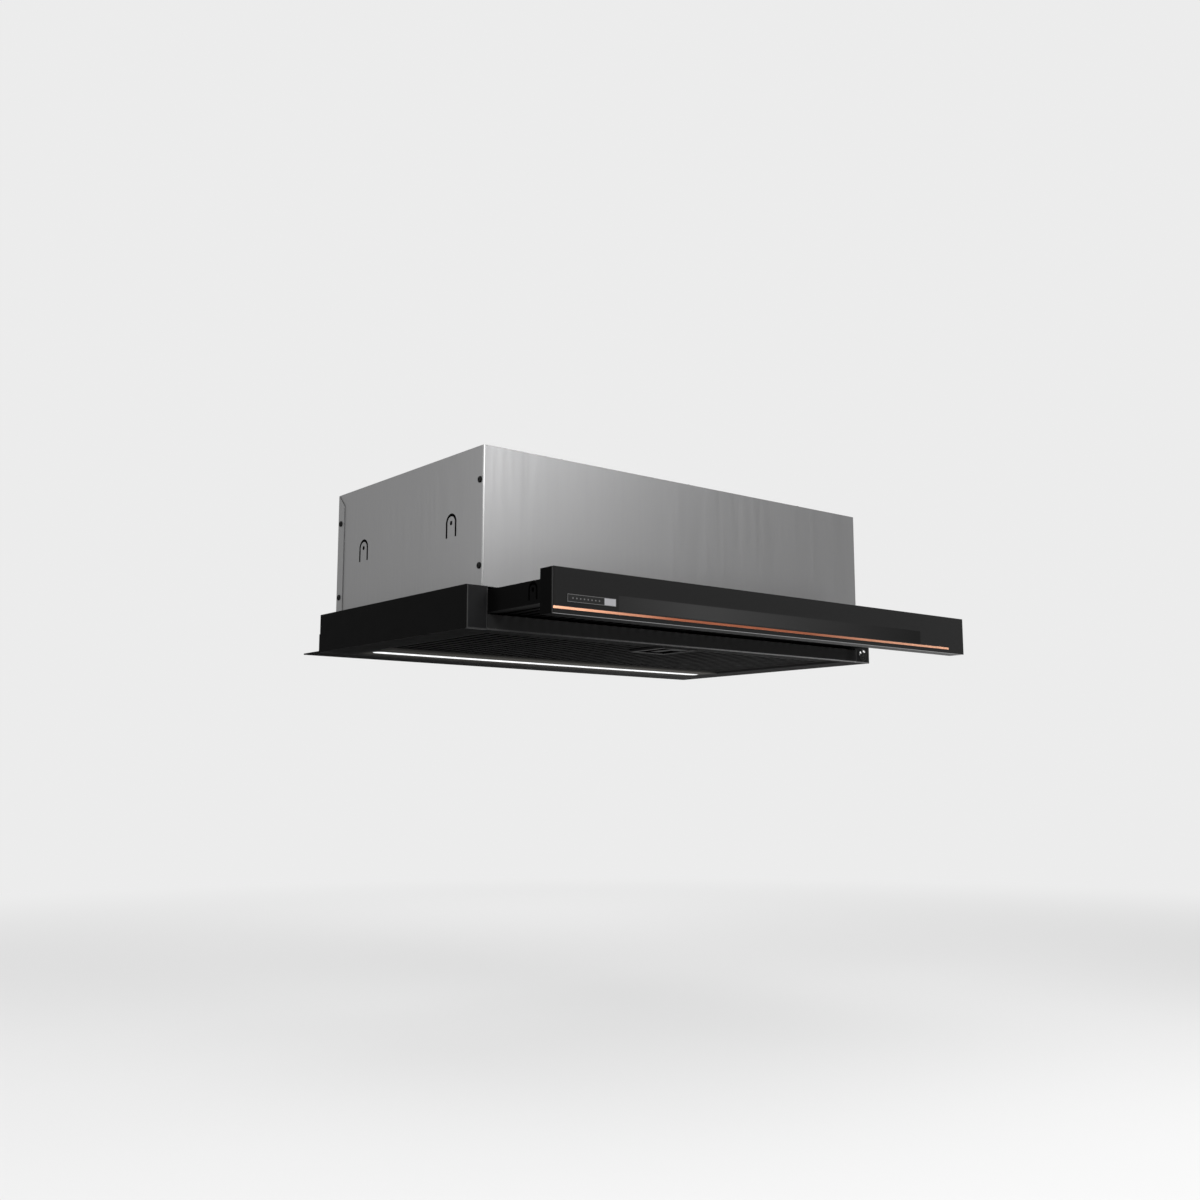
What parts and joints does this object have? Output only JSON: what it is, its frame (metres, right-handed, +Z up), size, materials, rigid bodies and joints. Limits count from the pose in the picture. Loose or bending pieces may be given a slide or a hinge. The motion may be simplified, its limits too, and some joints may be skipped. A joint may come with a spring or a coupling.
{
  "type": "telescopic range hood",
  "caption": "Slide-out range hood for a wall cabinet: grey sheet-metal box on a black tray, glass-fronted drawer with a copper strip, louvred grease filter and strip lamp.",
  "frame": {"origin": "on the underside, at the centre of the width, in line with the front of the fixed body", "axes": "+X to the right for someone who faces the hood, +Y back to the wall, +Z up"},
  "size_m": [0.598, 0.4776, 0.2104],
  "materials": {
    "grey_sheet": "satin light grey",
    "black_sheet": "satin black",
    "black_plastic": "fine-grained black",
    "black_screw": "black",
    "dark_glass": "back-painted gloss",
    "anodised_profile": "anodised",
    "copper_strip": "brushed copper",
    "badge_face": "dark with a light edge",
    "lamp_lens": "milky",
    "circuit_board": "white solder mask",
    "white_plastic": "white",
    "grey_plastic": "grey",
    "bright_steel": "bright",
    "zinc_sheet": "zinc plated",
    "motor_core": "lamination",
    "button_metal": "bright",
    "button_cap": "pale",
    "black_rubber": "soft"
  },
  "bodies": {
    "housing": {"bottom_plate": "black_sheet", "box_front_panel": "grey_sheet", "box_left_side": "grey_sheet", "box_rear_panel": "grey_sheet", "box_right_side": "grey_sheet", "box_top_panel": "grey_sheet", "button_bezel": "button_metal", "cable_gland": "black_plastic", "capacitor": "white_plastic", "control_box": "grey_plastic", "drawer_switch": "black_plastic", "front_rail": "black_sheet", "led_board": "circuit_board", "led_driver": "white_plastic", "led_lens": "lamp_lens", "left_end_plate": "black_plastic", "left_runner": "zinc_sheet", "motor_bearings": "bright_steel", "motor_bracket": "zinc_sheet", "motor_housing": "zinc_sheet", "motor_stator": "motor_core", "outlet_collar": "black_plastic", "rear_filler": "black_sheet", "right_end_plate": "black_plastic", "right_runner": "zinc_sheet", "scroll_left": "black_plastic", "scroll_right": "black_plastic", "sheet_screws": "black_screw", "tray_left_wall": "black_sheet", "tray_rear_wall": "black_sheet", "tray_right_wall": "black_sheet"},
    "drawer": {"drawer_left_side": "black_sheet", "drawer_right_side": "black_sheet", "drawer_rear_bar": "black_sheet", "drawer_grille": "black_sheet", "front_profile": "anodised_profile", "profile_end_caps": "black_plastic", "glass_panel": "dark_glass", "accent_strip": "copper_strip", "badge_plate": "badge_face", "roller_axles": "bright_steel", "drawer_bumpers": "black_rubber"},
    "left_front_roller": {"left_front_roller": "white_plastic"},
    "left_rear_roller": {"left_rear_roller": "white_plastic"},
    "right_front_roller": {"right_front_roller": "white_plastic"},
    "right_rear_roller": {"right_rear_roller": "white_plastic"},
    "fan_wheel": {"impeller_disc": "black_plastic", "impeller_rings": "black_plastic", "impeller_blades": "black_plastic", "motor_shaft": "bright_steel", "motor_rotor": "motor_core", "impeller_nut": "bright_steel"},
    "front_flap": {"front_flap": "black_plastic"},
    "rear_flap": {"rear_flap": "black_plastic"},
    "grease_filter": {"filter_face": "black_sheet", "filter_baffles": "black_sheet", "filter_handle": "black_plastic"},
    "filter_latch": {"filter_latch": "black_plastic"},
    "light_button": {"light_button": "button_cap"},
    "switch_plunger": {"switch_plunger": "white_plastic"}
  },
  "joints": [
    {"name": "drawer_slide", "type": "slide", "parent": "housing", "child": "drawer", "axis": [0, 1, 0], "range_m": [0, 0.1159]},
    {"name": "left_front_roller_spin", "type": "hinge", "parent": "drawer", "child": "left_front_roller", "pos_m": [-0.2795, 0.025, 0.0282], "axis": [1, 0, 0], "range_deg": [-950, 0]},
    {"name": "left_rear_roller_spin", "type": "hinge", "parent": "drawer", "child": "left_rear_roller", "pos_m": [-0.2795, 0.085, 0.0282], "axis": [1, 0, 0], "range_deg": [-950, 0]},
    {"name": "right_front_roller_spin", "type": "hinge", "parent": "drawer", "child": "right_front_roller", "pos_m": [0.2795, 0.025, 0.0282], "axis": [1, 0, 0], "range_deg": [-950, 0]},
    {"name": "right_rear_roller_spin", "type": "hinge", "parent": "drawer", "child": "right_rear_roller", "pos_m": [0.2795, 0.085, 0.0282], "axis": [1, 0, 0], "range_deg": [-950, 0]},
    {"name": "fan_spin", "type": "hinge", "parent": "housing", "child": "fan_wheel", "pos_m": [0, 0.137, 0.1076], "axis": [1, 0, 0], "continuous": true},
    {"name": "front_flap_swing", "type": "hinge", "parent": "housing", "child": "front_flap", "pos_m": [0, 0.1468, 0.1865], "axis": [-1, 0, 0], "range_deg": [0, 75]},
    {"name": "rear_flap_swing", "type": "hinge", "parent": "housing", "child": "rear_flap", "pos_m": [0, 0.1532, 0.1865], "axis": [1, 0, 0], "range_deg": [0, 75]},
    {"name": "filter_hinge", "type": "hinge", "parent": "housing", "child": "grease_filter", "pos_m": [0, 0.222, 0.0042], "axis": [1, 0, 0], "range_deg": [0, 80]},
    {"name": "latch_slide", "type": "slide", "parent": "grease_filter", "child": "filter_latch", "axis": [0, 1, 0], "range_m": [0, 0.005], "stiffness_N_per_m": 200, "springref_m": -0.002},
    {"name": "light_button_push", "type": "slide", "parent": "housing", "child": "light_button", "axis": [0, 1, 0], "range_m": [0, 0.0015], "stiffness_N_per_m": 400, "springref_m": -0.0005},
    {"name": "switch_plunger_push", "type": "slide", "parent": "housing", "child": "switch_plunger", "axis": [0, 1, 0], "range_m": [0, 0.0012], "stiffness_N_per_m": 300, "springref_m": -0.0005}
  ],
  "couplings": [
    {"joint": "left_front_roller_spin", "follows": "drawer_slide", "rad_per_m": -142.86},
    {"joint": "left_rear_roller_spin", "follows": "drawer_slide", "rad_per_m": -142.86},
    {"joint": "right_front_roller_spin", "follows": "drawer_slide", "rad_per_m": -142.86},
    {"joint": "right_rear_roller_spin", "follows": "drawer_slide", "rad_per_m": -142.86}
  ]
}
